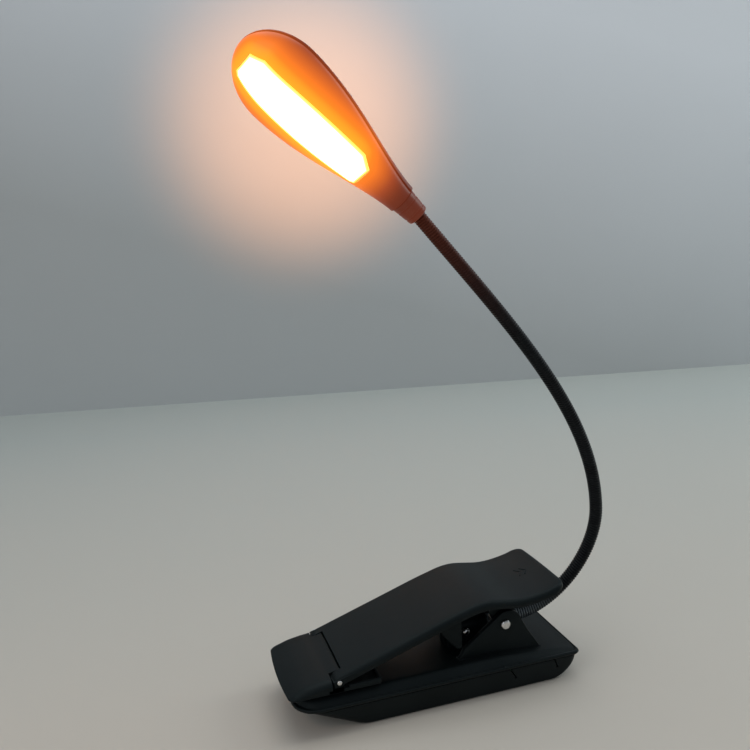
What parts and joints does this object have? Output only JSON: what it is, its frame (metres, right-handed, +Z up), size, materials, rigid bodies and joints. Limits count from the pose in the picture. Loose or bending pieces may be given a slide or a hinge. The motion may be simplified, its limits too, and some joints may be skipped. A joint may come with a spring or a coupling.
{
  "type": "clip-on reading lamp",
  "caption": "Clip-on rechargeable reading lamp: a sprung clip with a press lever and a self-levelling jaw foot, a flexible gooseneck and a spoon-shaped head with an amber light strip.",
  "frame": {"origin": "on the underside of the base, straight below the clip's pivot pin", "axes": "+X towards the handle end of the clip, -X towards its jaw; +Z up; -Y is the near side with the two latch slits, +Y the side with the button and the charging socket"},
  "size_m": [0.1316, 0.0412, 0.2303],
  "materials": {
    "housing_plastic": "satin black moulded plastic with a fine texture",
    "head_plastic": "satin black moulded plastic",
    "rubber": "matte black rubber",
    "steel": "bright steel",
    "black_steel": "black-coated steel",
    "diffuser": "translucent warm diffuser",
    "circuit_board": "green solder mask",
    "battery_wrap": "shrink wrap",
    "led_chip": "phosphor",
    "lead_insulation": "wire insulation"
  },
  "bodies": {
    "base": {"base_lower_shell": "housing_plastic", "base_top_cover": "housing_plastic", "base_grip_pad": "rubber", "battery_cell": "battery_wrap", "main_board": "circuit_board", "charging_socket": "steel", "indicator_light_guide": "diffuser", "housing_screw_1": "black_steel", "housing_screw_2": "black_steel", "housing_screw_3": "black_steel", "housing_screw_4": "black_steel", "neck_set_screw": "steel", "pivot_pin": "steel", "torsion_spring_near": "steel", "torsion_spring_far": "steel", "tact_switch": "black_steel", "neck_root_tube": "black_steel", "neck_root_lead": "lead_insulation"},
    "button": {"power_button": "housing_plastic"},
    "lever": {"lever": "housing_plastic", "foot_pin": "steel"},
    "foot": {"jaw_foot": "housing_plastic", "jaw_foot_pad": "rubber"},
    "neck_1": {"neck_link_1": "black_steel", "neck_lead_1": "lead_insulation"},
    "neck_2": {"neck_link_2": "black_steel", "neck_lead_2": "lead_insulation"},
    "neck_3": {"neck_link_3": "black_steel", "neck_lead_3": "lead_insulation"},
    "neck_4": {"neck_link_4": "black_steel", "neck_lead_4": "lead_insulation"},
    "neck_5": {"neck_link_5": "black_steel", "neck_lead_5": "lead_insulation"},
    "neck_6": {"neck_link_6": "black_steel", "neck_lead_6": "lead_insulation"},
    "head": {"head_front_cover": "head_plastic", "head_back_shell": "head_plastic", "light_diffuser": "diffuser", "head_collar": "head_plastic", "led_board": "circuit_board", "led_1": "led_chip", "led_2": "led_chip", "led_3": "led_chip", "led_4": "led_chip", "led_5": "led_chip", "led_6": "led_chip", "neck_end_tube": "black_steel", "head_lead": "lead_insulation"}
  },
  "joints": [
    {"name": "power_button_press", "type": "slide", "parent": "base", "child": "button", "axis": [0, -1, 0], "range_m": [0, 0.0005], "stiffness_N_per_m": 2500, "springref_m": -0.0002},
    {"name": "lever_pivot", "type": "hinge", "parent": "base", "child": "lever", "pos_m": [0, 0, 0.0232], "axis": [0, 1, 0], "range_deg": [0, 15], "stiffness_Nm_per_rad": 1.2, "springref_deg": -20.05, "deforming": ["torsion_spring_near", "torsion_spring_far"]},
    {"name": "foot_tilt", "type": "hinge", "parent": "lever", "child": "foot", "pos_m": [-0.0643, 0, 0.0184], "axis": [0, 1, 0], "range_deg": [-15, 0]},
    {"name": "neck_bend_1", "type": "hinge", "parent": "base", "child": "neck_1", "pos_m": [0.02481, 0, 0.02344], "axis": [0, 1, 0], "range_deg": [-30, 30]},
    {"name": "neck_bend_2", "type": "hinge", "parent": "neck_1", "child": "neck_2", "pos_m": [0.04354, 0, 0.04399], "axis": [-0.921, 0, 0.3895], "range_deg": [-30, 30]},
    {"name": "neck_bend_3", "type": "hinge", "parent": "neck_2", "child": "neck_3", "pos_m": [0.04436, 0, 0.07179], "axis": [0, -1, 0], "range_deg": [-30, 30]},
    {"name": "neck_bend_4", "type": "hinge", "parent": "neck_3", "child": "neck_4", "pos_m": [0.03411, 0, 0.09809], "axis": [0.8806, 0, 0.4738], "range_deg": [-30, 30]},
    {"name": "neck_bend_5", "type": "hinge", "parent": "neck_4", "child": "neck_5", "pos_m": [0.01903, 0, 0.12203], "axis": [0, 1, 0], "range_deg": [-30, 30]},
    {"name": "neck_bend_6", "type": "hinge", "parent": "neck_5", "child": "neck_6", "pos_m": [0.00191, 0, 0.14457], "axis": [-0.7821, 0, -0.6231], "range_deg": [-30, 30]},
    {"name": "head_tilt", "type": "hinge", "parent": "neck_6", "child": "head", "pos_m": [-0.01585, 0, 0.16661], "axis": [0, -1, 0], "range_deg": [-30, 30]}
  ],
  "couplings": [
    {"joint": "foot_tilt", "follows": "lever_pivot", "ratio": -1}
  ]
}
